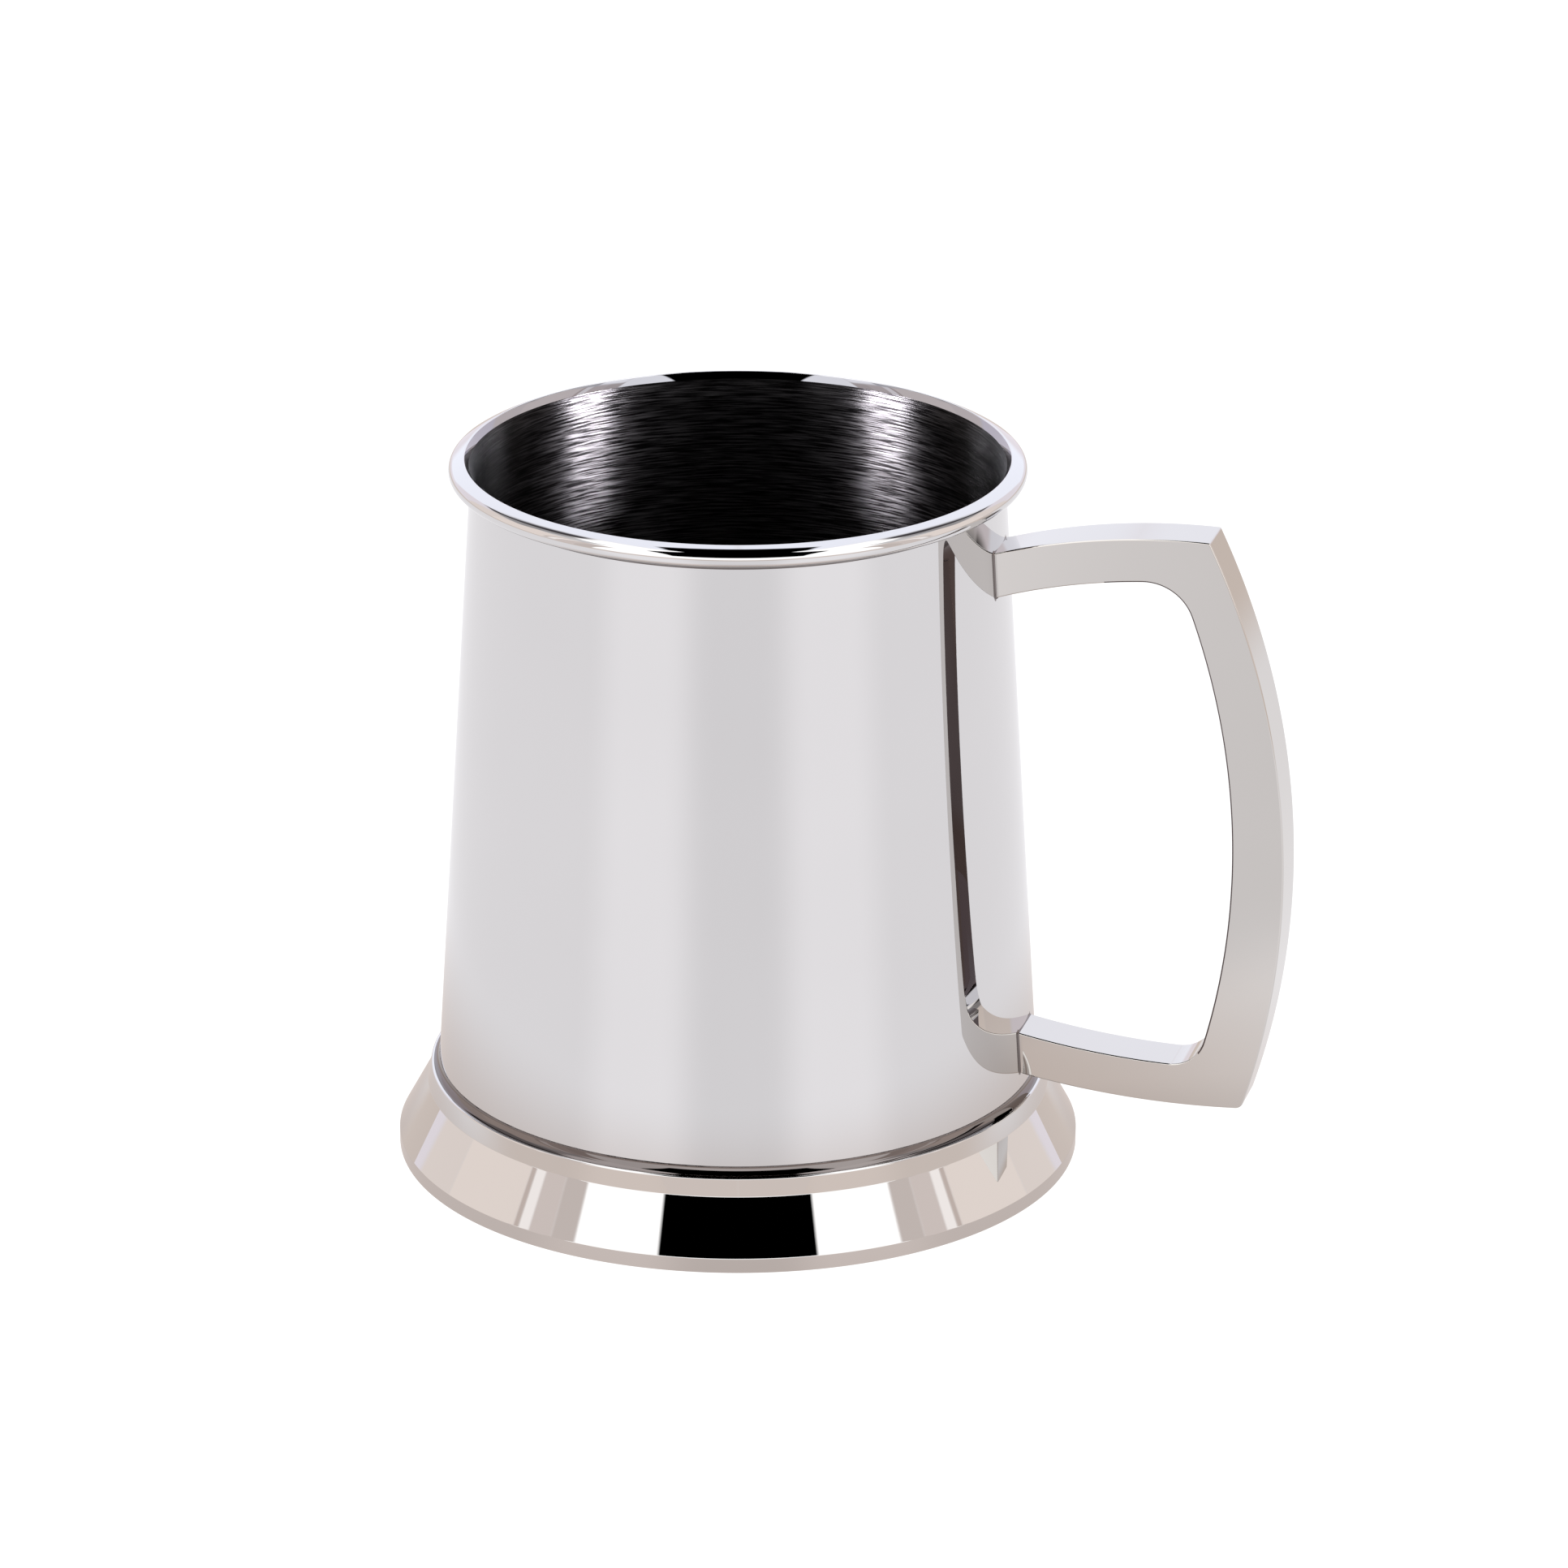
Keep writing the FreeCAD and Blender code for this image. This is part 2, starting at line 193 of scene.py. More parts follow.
def buffing_group():
    """Buffed metal close up: broad soft haze and a web of hairline marks from handling."""
    group, given, made = new_group("buffing", {"Haze size": 30.0}, ["Haze", "Hairlines"])
    place = add_node(group, "ShaderNodeTexCoord").outputs["Object"]
    haze = add_node(
        group,
        "ShaderNodeTexNoise",
        {"Vector": place, "Scale": given.outputs["Haze size"], "Detail": 3},
    )
    hairs = []
    for number, turn in enumerate((0.4, 1.9, 2.8)):
        spread = add_node(
            group,
            "ShaderNodeMapping",
            {"Vector": place, "Rotation": (turn, 0.7 * turn, turn), "Scale": (60, 2600, 900)},
        )
        hair = add_node(
            group, "ShaderNodeTexNoise", {"Vector": spread.outputs[0], "Scale": 1, "Detail": 2}
        )
        hairs.append(hair.outputs["Fac"])
    pair = add_node(group, "ShaderNodeMath", {0: hairs[0], 1: hairs[1]}, operation="MAXIMUM")
    web = add_node(group, "ShaderNodeMath", {0: pair.outputs[0], 1: hairs[2]}, operation="MAXIMUM")
    group.links.new(haze.outputs["Fac"], made.inputs["Haze"])
    group.links.new(web.outputs[0], made.inputs["Hairlines"])
    return group


def brush_group():
    """Rings left by a brush wheel round the upright axis: long thin dashes, finest across."""
    group, given, made = new_group(
        "brushing", {"Fineness": 3600.0, "Dashes per radian": 7.0}, ["Dashes", "Bands"]
    )
    place = add_node(group, "ShaderNodeTexCoord").outputs["Object"]
    parts = add_node(group, "ShaderNodeSeparateXYZ", {0: place})
    angle = add_node(
        group, "ShaderNodeMath", {0: parts.outputs["Y"], 1: parts.outputs["X"]}, operation="ARCTAN2"
    )
    across = add_node(
        group, "ShaderNodeVectorMath", {0: place, 1: (1, 1, 0)}, operation="MULTIPLY"
    )
    radius = add_node(group, "ShaderNodeVectorMath", {0: across.outputs[0]}, operation="LENGTH")
    level = add_node(
        group,
        "ShaderNodeMath",
        {0: parts.outputs["Z"], 1: radius.outputs["Value"]},
        operation="ADD",
    )
    fine = add_node(
        group,
        "ShaderNodeMath",
        {0: level.outputs[0], 1: given.outputs["Fineness"]},
        operation="MULTIPLY",
    )
    around = add_node(
        group,
        "ShaderNodeMath",
        {0: angle.outputs[0], 1: given.outputs["Dashes per radian"]},
        operation="MULTIPLY",
    )
    line = add_node(group, "ShaderNodeCombineXYZ", {"X": around.outputs[0], "Y": fine.outputs[0]})
    dashes = add_node(
        group, "ShaderNodeTexNoise", {"Vector": line.outputs[0], "Scale": 1, "Detail": 4}
    )
    broad = add_node(
        group, "ShaderNodeVectorMath", {0: line.outputs[0], 1: (0.5, 0.16, 1)}, operation="MULTIPLY"
    )
    bands = add_node(
        group, "ShaderNodeTexNoise", {"Vector": broad.outputs[0], "Scale": 1, "Detail": 3}
    )
    group.links.new(dashes.outputs["Fac"], made.inputs["Dashes"])
    group.links.new(bands.outputs["Fac"], made.inputs["Bands"])
    return group


BUFFING = buffing_group()
BRUSHING = brush_group()
HAIRLINE_DEPTH = 0.01 * MM


def mirror_metal(name, dark, light, roughness, relief):
    """Buffed alloy: two close shades mixed by haze, with hairlines in relief. Where it isn't
    a full mirror, the hairlines also dull it."""
    finish = bpy.data.materials.new(name)
    finish.use_nodes = True
    tree = finish.node_tree
    metal = tree.nodes["Principled BSDF"]
    marks = add_node(tree, "ShaderNodeGroup", node_tree=BUFFING)
    shade = add_node(
        tree,
        "ShaderNodeMix",
        {"Factor": marks.outputs["Haze"], "A": (*dark, 1), "B": (*light, 1)},
        data_type="RGBA",
    )
    bump = add_node(
        tree,
        "ShaderNodeBump",
        {"Height": marks.outputs["Hairlines"], "Strength": relief, "Distance": HAIRLINE_DEPTH},
    )
    tree.links.new(shade.outputs["Result"], metal.inputs["Base Color"])
    tree.links.new(bump.outputs[0], metal.inputs["Normal"])
    metal.inputs["Roughness"].default_value = roughness
    if roughness > 0:
        gloss = add_node(
            tree,
            "ShaderNodeMapRange",
            {
                "Value": marks.outputs["Hairlines"],
                "From Min": 0.45,
                "From Max": 0.8,
                "To Min": roughness,
                "To Max": roughness * 2.2,
            },
        )
        tree.links.new(gloss.outputs[0], metal.inputs["Roughness"])
    metal.inputs["Metallic"].default_value = 1.0
    return finish


GROOVE_DEPTH = 0.1 * MM


def brushed_metal(name, dark, light, roughness, relief):
    """Alloy left from the brush wheel. Its gloss is drawn out across the brush rings."""
    finish = bpy.data.materials.new(name)
    finish.use_nodes = True
    tree = finish.node_tree
    metal = tree.nodes["Principled BSDF"]
    marks = add_node(tree, "ShaderNodeGroup", node_tree=BRUSHING)
    crisp = add_node(
        tree,
        "ShaderNodeMapRange",
        {"Value": marks.outputs["Dashes"], "From Min": 0.42, "From Max": 0.66},
    )
    shade = add_node(
        tree,
        "ShaderNodeMix",
        {"Factor": crisp.outputs[0], "A": (*dark, 1), "B": (*light, 1)},
        data_type="RGBA",
    )
    gloss = add_node(
        tree,
        "ShaderNodeMapRange",
        {
            "Value": marks.outputs["Bands"],
            "From Min": 0.3,
            "From Max": 0.7,
            "To Min": roughness * 0.8,
            "To Max": roughness * 1.25,
        },
    )
    bump = add_node(
        tree,
        "ShaderNodeBump",
        {"Height": marks.outputs["Dashes"], "Strength": relief, "Distance": GROOVE_DEPTH},
    )
    ring = add_node(tree, "ShaderNodeTangent", direction_type="RADIAL", axis="Z")
    tree.links.new(shade.outputs["Result"], metal.inputs["Base Color"])
    tree.links.new(gloss.outputs[0], metal.inputs["Roughness"])
    tree.links.new(bump.outputs[0], metal.inputs["Normal"])
    tree.links.new(ring.outputs[0], metal.inputs["Tangent"])
    metal.inputs["Metallic"].default_value = 1.0
    metal.inputs["Anisotropic"].default_value = 1.0
    metal.inputs["Anisotropic Rotation"].default_value = 0.25
    return finish


def bead_point(radius, angle):
    """A point round the bead's centre, its angle counted up from straight outward."""
    angle = math.radians(angle)
    return BEAD_CENTRE + Vector((math.cos(angle), math.sin(angle))) * radius


FLARE_START = 107.5 * MM
FLARE_ROUND = 2.05 * MM
MOUTH_START = 106.6 * MM
MOUTH_ROUND = 6.9 * MM
LIP_ROUND = 0.25 * MM
LIP_INWARD, LIP_RISE = 1.05 * MM, 1.86 * MM
BEVEL_TURN = 67
HEM_TURN = 225
TUNNEL_TURN = 205
SHADE_TURN = 315
lip = Vector((BEAD_CENTRE.x - LIP_INWARD, BEAD_CENTRE.y + LIP_RISE))
bevel_start = bead_point(BEAD_RADIUS, BEVEL_TURN)
mouth_end = Vector((wall_inside(MOUTH_START), MOUTH_START))

# The lip's round touches the bevel and the mouth's bow, so its centre is set off from both.
mouth_chord = mouth_end - lip
mouth_left = Vector((-mouth_chord.y, mouth_chord.x)).normalized()
mouth_rise = math.sqrt(MOUTH_ROUND ** 2 - mouth_chord.length_squared / 4)
mouth_centre = (lip + mouth_end) / 2 + mouth_left * mouth_rise
bevel_along = (lip - bevel_start).normalized()
bevel_left = Vector((-bevel_along.y, bevel_along.x))
offset_start = bevel_start + bevel_left * LIP_ROUND - mouth_centre
along_offset = offset_start.dot(bevel_along)
reach = MOUTH_ROUND - LIP_ROUND
travel = math.sqrt(along_offset ** 2 - offset_start.length_squared + reach ** 2) - along_offset
lip_centre = mouth_centre + offset_start + bevel_along * travel
lip_start = lip_centre - bevel_left * LIP_ROUND
lip_end = mouth_centre + (lip_centre - mouth_centre).normalized() * MOUTH_ROUND

# The bevel bulges a little. Its curve leaves the bead where their slopes nearly agree.
BEVEL_CROWN = 10.0 * MM
bevel_width = (lip_start - bevel_start).length
crown_lean = math.degrees(math.asin(bevel_width / (2 * BEVEL_CROWN - BEAD_RADIUS)))
crown_turn = BEVEL_TURN - crown_lean
crown_start = bead_point(BEAD_RADIUS, crown_turn)

# The buffing reaches this far into the mouth. Below it the brush rings begin.
LIP_BAND = 1.1 * MM
mouth_split = Vector((0, lip.y - LIP_BAND))
split_drop = mouth_split.y - mouth_centre.y
mouth_split.x = mouth_centre.x - math.sqrt(MOUTH_ROUND ** 2 - split_drop ** 2)

POLISHED, BRUSHED, LIP_PAINTED_SHADE, UNDERSIDE_SHADE = range(4)
flare_foot = Vector((wall_outside(FLARE_START), FLARE_START))
wall_foot = Vector((wall_outside(WALL_FOOT_HEIGHT), WALL_FOOT_HEIGHT))
wall_foot_inside = Vector((wall_inside(WALL_FOOT_HEIGHT), WALL_FOOT_HEIGHT))
tunnel_hem = bead_point(TUNNEL_RADIUS, HEM_TURN)
wall = lathe(
    "body_wall_sheet",
    [
        (POLISHED, straight(wall_foot, flare_foot)),
        # The flare, the tunnel and the curl's lower side are darkened: painted shade under the rim.
        (UNDERSIDE_SHADE, bow(flare_foot, bead_point(TUNNEL_RADIUS, TUNNEL_TURN), FLARE_ROUND, -1)),
        (UNDERSIDE_SHADE, arc(BEAD_CENTRE, TUNNEL_RADIUS, TUNNEL_TURN, HEM_TURN - 360)),
        (UNDERSIDE_SHADE, straight(tunnel_hem, bead_point(BEAD_RADIUS, HEM_TURN))),
        (UNDERSIDE_SHADE, arc(BEAD_CENTRE, BEAD_RADIUS, HEM_TURN, SHADE_TURN)),
        (POLISHED, arc(BEAD_CENTRE, BEAD_RADIUS, SHADE_TURN, crown_turn + 360)),
        (POLISHED, bow(crown_start, lip_start, BEVEL_CROWN, 1)),
        (POLISHED, bow(lip_start, lip_end, LIP_ROUND, 1)),
        (LIP_PAINTED_SHADE, bow(lip_end, mouth_split, MOUTH_ROUND, 1)),
        (BRUSHED, bow(mouth_split, mouth_end, MOUTH_ROUND, 1)),
        (BRUSHED, straight(mouth_end, wall_foot_inside)),
        (BRUSHED, straight(wall_foot_inside, wall_foot)),
    ],
    [
        mirror_metal("body polish", (0.69, 0.68, 0.68), (0.72, 0.71, 0.71), 0.0, 0.02),
        # Inside: the colour is set near black, painted shade for the hollow of the tankard.
        brushed_metal("inside brushing painted shade", (0.002, 0.0018, 0.002), (0.034, 0.032, 0.034), 0.36, 0.3),
        # The lip is buffed like the outside. Its darker, bluer colour is painted shade on its
        # reflection.
        mirror_metal("lip polish painted shade", (0.4, 0.4, 0.44), (0.46, 0.46, 0.5), 0.0, 0.02),
        # Under the rim: painted shade for the crease beneath the bead.
        mirror_metal("under the rim", (0.12, 0.1, 0.1), (0.2, 0.18, 0.17), 0.0, 0.1),
    ],
)
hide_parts("body_wall")

# ---------------------------------------------------------------------------------------
# Rim wire. A round drawn wire that the sheet is curled over, which stiffens the rim. It
# sits in the curl's tunnel and shows only as a glint through the slit under the rim.

wire_finish = mirror_metal("drawn wire", (0.5, 0.49, 0.48), (0.62, 0.61, 0.6), 0.2, 0.1)
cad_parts["rim_wire"].material_slots[0].material = wire_finish

# ---------------------------------------------------------------------------------------
# Floor. A flat disc of the same alloy, cut to the wall's taper and let in from below. Its top
# is brushed in rings on the lathe.

FLOOR_BEVEL = 0.15 * MM
CLEARANCE = 0.01 * MM
floor_low, floor_high = (corner.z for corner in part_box("floor_disc"))
under_edge = (wall_inside(floor_low) - CLEARANCE, floor_low)
bevel_low = (wall_inside(floor_high) - CLEARANCE, floor_high - FLOOR_BEVEL)
bevel_high = (bevel_low[0] - FLOOR_BEVEL, floor_high)
floor_finish = brushed_metal("floor turning", (0.1, 0.095, 0.1), (0.2, 0.19, 0.2), 0.2, 0.5)
floor_piece = lathe(
    "floor_disc_turned",
    [
        (0, straight((0, floor_low), under_edge)),
        (0, straight(under_edge, bevel_low)),
        (0, straight(bevel_low, bevel_high)),
        (0, straight(bevel_high, (0, floor_high))),
    ],
    [floor_finish],
    closed=False,
)
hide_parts("floor_disc")

# ---------------------------------------------------------------------------------------
# Floor solder. A thin line of soft solder run round the corner under the floor, inside the
# hollow foot. It is left as it froze, a little dull.

SOLDER_LEG = 0.55 * MM
corner_in = Vector((wall_inside(floor_low), floor_low))
corner_floor = Vector((corner_in.x - SOLDER_LEG, floor_low))
corner_wall = Vector((wall_inside(floor_low - SOLDER_LEG), floor_low - SOLDER_LEG))
solder_finish = mirror_metal("run solder", (0.55, 0.54, 0.53), (0.66, 0.65, 0.64), 0.22, 0.4)
floor_solder = lathe(
    "floor_solder_line",
    [
        (0, straight(corner_floor, corner_wall)),
        (0, straight(corner_wall, corner_in)),
        (0, straight(corner_in, corner_floor)),
    ],
    [solder_finish],
)
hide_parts("floor_solder")

# ---------------------------------------------------------------------------------------
# Foot. A hollow skirt spun from sheet, with an upright lip below, a steep collar above that
# sleeves the wall, and small rolled edges between them. Buffed to a mirror.

FOOT_EDGE = 0.3 * MM
FOOT_BASE_EDGE = 0.2 * MM
FOOT_LIP_HEIGHT = 2.3 * MM
FOOT_COLLAR_HEIGHT = 10.5 * MM
FOOT_HOLLOW_HEIGHT = 2.0 * MM
FOOT_GAUGE = 1.2 * MM
COLLAR_FOOT_INWARD, COLLAR_TOP_INWARD = 4.5 * MM, 5.1 * MM
HOLLOW_TOP_INWARD = 5.05 * MM
foot_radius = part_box("foot_ring")[1].y
foot_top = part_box("foot_ring")[1].z


def rounded_outline(corners):
    """A closed run of straight stretches through corners (radius, height, rounding)."""
    stretches, turns = [], []
    for place, (radius, height, rounding) in enumerate(corners):
        here = Vector((radius, height))
        before = (Vector(corners[place - 1][:2]) - here).normalized()
        after = (Vector(corners[(place + 1) % len(corners)][:2]) - here).normalized()
        half = before.angle(after) / 2
        back = rounding / math.tan(half)
        side = 1 if before.x * after.y - before.y * after.x < 0 else -1
        turns.append((here + before * back, here + after * back, rounding, side))
    for place, (entry, leave, rounding, side) in enumerate(turns):
        if rounding:
            stretches.append((0, bow(entry, leave, rounding, side)))
        stretches.append((0, straight(leave, turns[(place + 1) % len(turns)][0])))
    return stretches


foot_corners = [
    (foot_radius, 0, FOOT_BASE_EDGE),
    (foot_radius, FOOT_LIP_HEIGHT, FOOT_EDGE),
    (foot_radius - COLLAR_FOOT_INWARD, FOOT_COLLAR_HEIGHT, FOOT_EDGE),
    (foot_radius - COLLAR_TOP_INWARD, foot_top, FOOT_EDGE),
    (wall_outside(foot_top) + CLEARANCE, foot_top, 0),
    (wall_outside(WALL_FOOT_HEIGHT) + CLEARANCE, WALL_FOOT_HEIGHT, 0),
    (foot_radius - HOLLOW_TOP_INWARD, WALL_FOOT_HEIGHT, 0),
    (foot_radius - FOOT_GAUGE, FOOT_HOLLOW_HEIGHT, 0),
    (foot_radius - FOOT_GAUGE, 0, FOOT_BASE_EDGE),
]
foot_finish = mirror_metal("foot polish", (0.69, 0.68, 0.675), (0.72, 0.71, 0.705), 0.0, 0.02)
foot = lathe("foot_ring_spun", rounded_outline(foot_corners), [foot_finish])
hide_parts("foot_ring")

# ---------------------------------------------------------------------------------------
# Foot solder. A small cove of solder in the corner between the collar and the wall, dressed
# smooth. Its colour is set dark as painted shade in that corner.

COVE_ROUND = 1.5 * MM
COVE_OUT_RADIUS = 47.25 * MM
cove_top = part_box("foot_solder")[1].z
cove_corner = Vector((wall_outside(foot_top), foot_top))
cove_out = Vector((COVE_OUT_RADIUS, foot_top))
cove_up = Vector((wall_outside(cove_top), cove_top))
solder_shade_finish = mirror_metal("dressed solder painted shade", (0.12, 0.1, 0.1), (0.3, 0.27, 0.26), 0.0, 0.1)
cove = lathe(
    "foot_solder_cove",
    [
        (0, bow(cove_out, cove_up, COVE_ROUND, -1)),
        (0, straight(cove_up, cove_corner)),
        (0, straight(cove_corner, cove_out)),
    ],
    [solder_shade_finish],
)
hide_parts("foot_solder")

# ---------------------------------------------------------------------------------------
# Handle. A flat-sided bar cast in one piece, two bowed arms and a bowed grip, with crisp
# rounded long edges. Ground flat, then buffed to a mirror; the side to the body is darkened
# as painted shade.

HANDLE_HALF = 4.0 * MM
HANDLE_EDGE = 0.25 * MM
EDGE_STEPS = 5
UPPER_ARM = Vector((71.5, 4.5)) * MM
LOWER_ARM = Vector((71.0, 152.8)) * MM
GRIP = Vector((-35.65, 51.9)) * MM
PALM = Vector((-35.65, 54.4)) * MM
UPPER_OUTER, UPPER_INNER = 101.2 * MM, 94.4 * MM
LOWER_OUTER, LOWER_INNER = 138.0 * MM, 131.5 * MM
GRIP_RADIUS, PALM_RADIUS = 122.0 * MM, 114.0 * MM
SHOULDER_ROUND, HEEL_ROUND = 0.35 * MM, 1.3 * MM
UPPER_PALM_ROUND, LOWER_PALM_ROUND = 7.5 * MM, 5.5 * MM
ROOT_UPPER, ROOT_LOWER = 41.0 * MM, 45.6 * MM
ARM_STEPS, ROUND_STEPS, GRIP_STEPS = 40, 14, 72


def blend_centre(first, first_reach, second, second_reach):
    """The centre on the grip's side at the given distances from two circles' centres."""
    apart = second - first
    along = (apart.length_squared + first_reach ** 2 - second_reach ** 2) / (2 * apart.length)
    out = math.sqrt(first_reach ** 2 - along ** 2)
    unit = apart.normalized()
    places = [first + unit * along + Vector((-unit.y, unit.x)) * out * side for side in (1, -1)]
    return max(places, key=lambda place: place.x)


def swept(centre, radius, start, end, steps, facing):
    """Points and normals on a circle from start's to end's bearing, by the short way."""
    angles = [math.atan2(*reversed(point - centre)) for point in (start, end)]
    turn = (angles[1] - angles[0] + math.pi) % (2 * math.pi) - math.pi
    stretch = []
    for step in range(steps + 1):
        angle = angles[0] + turn * step / steps
        radial = Vector((math.cos(angle), math.sin(angle)))
        stretch.append((centre + radial * radius, radial * facing))
    return stretch


def arm_root(centre, radius, root, above):
    """Where an arm's side starts: on its circle, at the root's distance from the axis."""
    rise = math.sqrt(radius ** 2 - (root - centre.x) ** 2)
    return Vector((root, centre.y + (rise if above else -rise)))


def bar_side(upper, upper_round, grip, grip_radius, lower_round, lower, facing):
    """One side of the bar from root to root: arm, round, grip, round, arm."""
    upper_blend = blend_centre(UPPER_ARM, upper - upper_round, grip, grip_radius - upper_round)
    lower_blend = blend_centre(LOWER_ARM, lower - lower_round, grip, grip_radius - lower_round)
    start = arm_root(UPPER_ARM, upper, ROOT_UPPER, True)
    end = arm_root(LOWER_ARM, lower, ROOT_LOWER, False)
    touch = [
        UPPER_ARM + (upper_blend - UPPER_ARM).normalized() * upper,
        grip + (upper_blend - grip).normalized() * grip_radius,
        grip + (lower_blend - grip).normalized() * grip_radius,
        LOWER_ARM + (lower_blend - LOWER_ARM).normalized() * lower,
    ]
    parts = [
        swept(UPPER_ARM, upper, start, touch[0], ARM_STEPS, facing),
        swept(upper_blend, upper_round, touch[0], touch[1], ROUND_STEPS, facing),
        swept(grip, grip_radius, touch[1], touch[2], GRIP_STEPS, facing),
        swept(lower_blend, lower_round, touch[2], touch[3], ROUND_STEPS, facing),
        swept(LOWER_ARM, lower, touch[3], end, ARM_STEPS, facing),
    ]
    return parts[0] + [point for part in parts[1:] for point in part[1:]]


outer_side = bar_side(UPPER_OUTER, SHOULDER_ROUND, GRIP, GRIP_RADIUS, HEEL_ROUND, LOWER_OUTER, 1)
inner_side = bar_side(
    UPPER_INNER, UPPER_PALM_ROUND, PALM, PALM_RADIUS, LOWER_PALM_ROUND, LOWER_INNER, -1
)


def bar_section(outer, inner):
    """The bar's rounded section at one station, as (x, y, z) points with their normals."""
    section = []
    flank = HANDLE_HALF - HANDLE_EDGE
    for (point, normal), turns in ((outer, (-1, 1)), (inner, (1, -1))):
        for side in turns:
            for step in range(EDGE_STEPS + 1):
                share = step / EDGE_STEPS if side == turns[1] else 1 - step / EDGE_STEPS
                angle = share * math.pi / 2
                sink = HANDLE_EDGE * (1 - math.cos(angle))
                spot = point - normal * sink
                width = side * (flank + HANDLE_EDGE * math.sin(angle))
                faced = (
                    normal.x * math.cos(angle),
                    side * math.sin(angle),
                    normal.y * math.cos(angle),
                )
                section.append(((spot.x, width, spot.y), faced))
    return section


def on_wall(spot, lift):
    """Slide a point along X on to the wall's cone, lifted off it by a small distance."""
    radius = wall_outside(spot[2]) + lift
    return (math.sqrt(radius ** 2 - spot[1] ** 2), spot[1], spot[2])


sections = [bar_section(outer, inner) for outer, inner in zip(outer_side, inner_side)]
for end in (0, -1):
    sections[end] = [(on_wall(spot, CLEARANCE), normal) for spot, normal in sections[end]]


def loft_sections(name, sections, finishes, shade_rows, shade_places):
    """Skin a run of equal sections, with their own normals, and close both ends. The strips
    in the shade rows and places take the second finish, the palm's painted shade."""
    count = len(sections[0])
    vertices = [spot for section in sections for spot, _ in section]
    normals = [normal for section in sections for _, normal in section]
    polygons, slots, corner_normals = [], [], []
    for row in range(len(sections) - 1):
        for place in range(count):
            slots.append(1 if row in shade_rows and place in shade_places else 0)
            following = (place + 1) % count
            corners = (
                row * count + place,
                (row + 1) * count + place,
                (row + 1) * count + following,
                row * count + following,
            )
            polygons.append(corners)
            corner_normals.extend(normals[vertex] for vertex in corners)
    last = (len(sections) - 1) * count
    for cap in (range(count), range(last + count - 1, last - 1, -1)):
        polygons.append(list(cap))
        slots.append(0)
        corner_normals.extend([(-1, 0, 0)] * count)
    mesh = bpy.data.meshes.new(name)
    mesh.from_pydata(vertices, [], polygons)
    mesh.polygons.foreach_set("material_index", slots)
    mesh.polygons.foreach_set("use_smooth", [True] * len(polygons))
    mesh.normals_split_custom_set(corner_normals)
    return place_piece(name, mesh, finishes)


# The palm's side, turned to the body, is darkened as painted shade. It runs from
# near the upper arm's end to just past the grip, over the inner face and its two long edges.
# The lead and the tail are counted in sections of the bar.
PALM_SHADE_LEAD, PALM_SHADE_TAIL = 10, 4
PALM_SHADE_ROWS = range(ARM_STEPS - PALM_SHADE_LEAD, ARM_STEPS + ROUND_STEPS + GRIP_STEPS + PALM_SHADE_TAIL)
PALM_SHADE_PLACES = range(2 * (EDGE_STEPS + 1), 4 * (EDGE_STEPS + 1) - 1)
handle_finish = mirror_metal("handle polish", (0.62, 0.595, 0.57), (0.66, 0.635, 0.61), 0.0, 0.03)
palm_shade_finish = mirror_metal("palm side painted shade", (0.09, 0.07, 0.07), (0.16, 0.13, 0.125), 0.0, 0.1)
handle = loft_sections(
    "handle_bar", sections, [handle_finish, palm_shade_finish], PALM_SHADE_ROWS, PALM_SHADE_PLACES
)
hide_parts("handle")

# ---------------------------------------------------------------------------------------
# Handle joints. Each arm is soft-soldered to the wall. A hair of solder squeezes out round
# the bar's end and is wiped to a tiny hollow fillet.

FILLET_UP = 0.25 * MM
FILLET_OUT = 0.4 * MM
FILLET_TUCK = 0.05 * MM
FILLET_STEPS = 5
JOINT_LIFT = 0.005 * MM


def solder_fillet(name, section, node):
    """A closed ring of solder round the bar's end section, lying on the wall's cone. The
    section runs anticlockwise seen from the bar's side."""
    count = len(section)
    vertices, polygons = [], []
    for spot, normal in section:
        flat = Vector((0, normal[1], normal[2])).normalized()
        base = Vector(on_wall(spot, JOINT_LIFT))
        for step in range(FILLET_STEPS + 1):
            angle = math.pi / 2 * step / FILLET_STEPS
            aside = base + flat * FILLET_OUT * (1 - math.sin(angle))
            aside = Vector(on_wall(aside, JOINT_LIFT))
            vertices.append(aside + Vector((FILLET_UP * (1 - math.cos(angle)), 0, 0)))
        tucked = base - flat * FILLET_TUCK
        vertices.append(tucked + Vector((FILLET_UP, 0, 0)))
        vertices.append(tucked)
    rows = FILLET_STEPS + 3
    for place in range(count):
        following = (place + 1) % count
        for row in range(rows):
            after = (row + 1) % rows
            polygons.append(
                (
                    place * rows + row,
                    place * rows + after,
                    following * rows + after,
                    following * rows + row,
                )
            )
    mesh = bpy.data.meshes.new(name)
    mesh.from_pydata(vertices, [], polygons)
    mesh.polygons.foreach_set("use_smooth", [True] * len(polygons))
    mesh.set_sharp_from_angle(angle=math.radians(50))
    mesh.validate()
    mesh.update()
    # The fillet takes the solder's dark finish: painted shade in the corner round the bar's end.
    piece = place_piece(name, mesh, [solder_shade_finish])
    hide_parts(node)
    return piece


solder_fillet("upper_handle_joint", sections[0], "upper_handle_solder")
solder_fillet("lower_handle_joint", sections[-1][::-1], "lower_handle_solder")

# ---------------------------------------------------------------------------------------
# Camera. A long lens a little over a metre away, looking down on the tankard from the front
# with the handle to the right and turned slightly towards it.

VIEW_TURN = math.radians(15.576)
VIEW_DISTANCE = 1.12094
VIEW_HEIGHT = 0.4865
VIEW_DIP = math.radians(20.902)
LENS_MM = 179.45
FRAMING_SHIFT = 0.0294

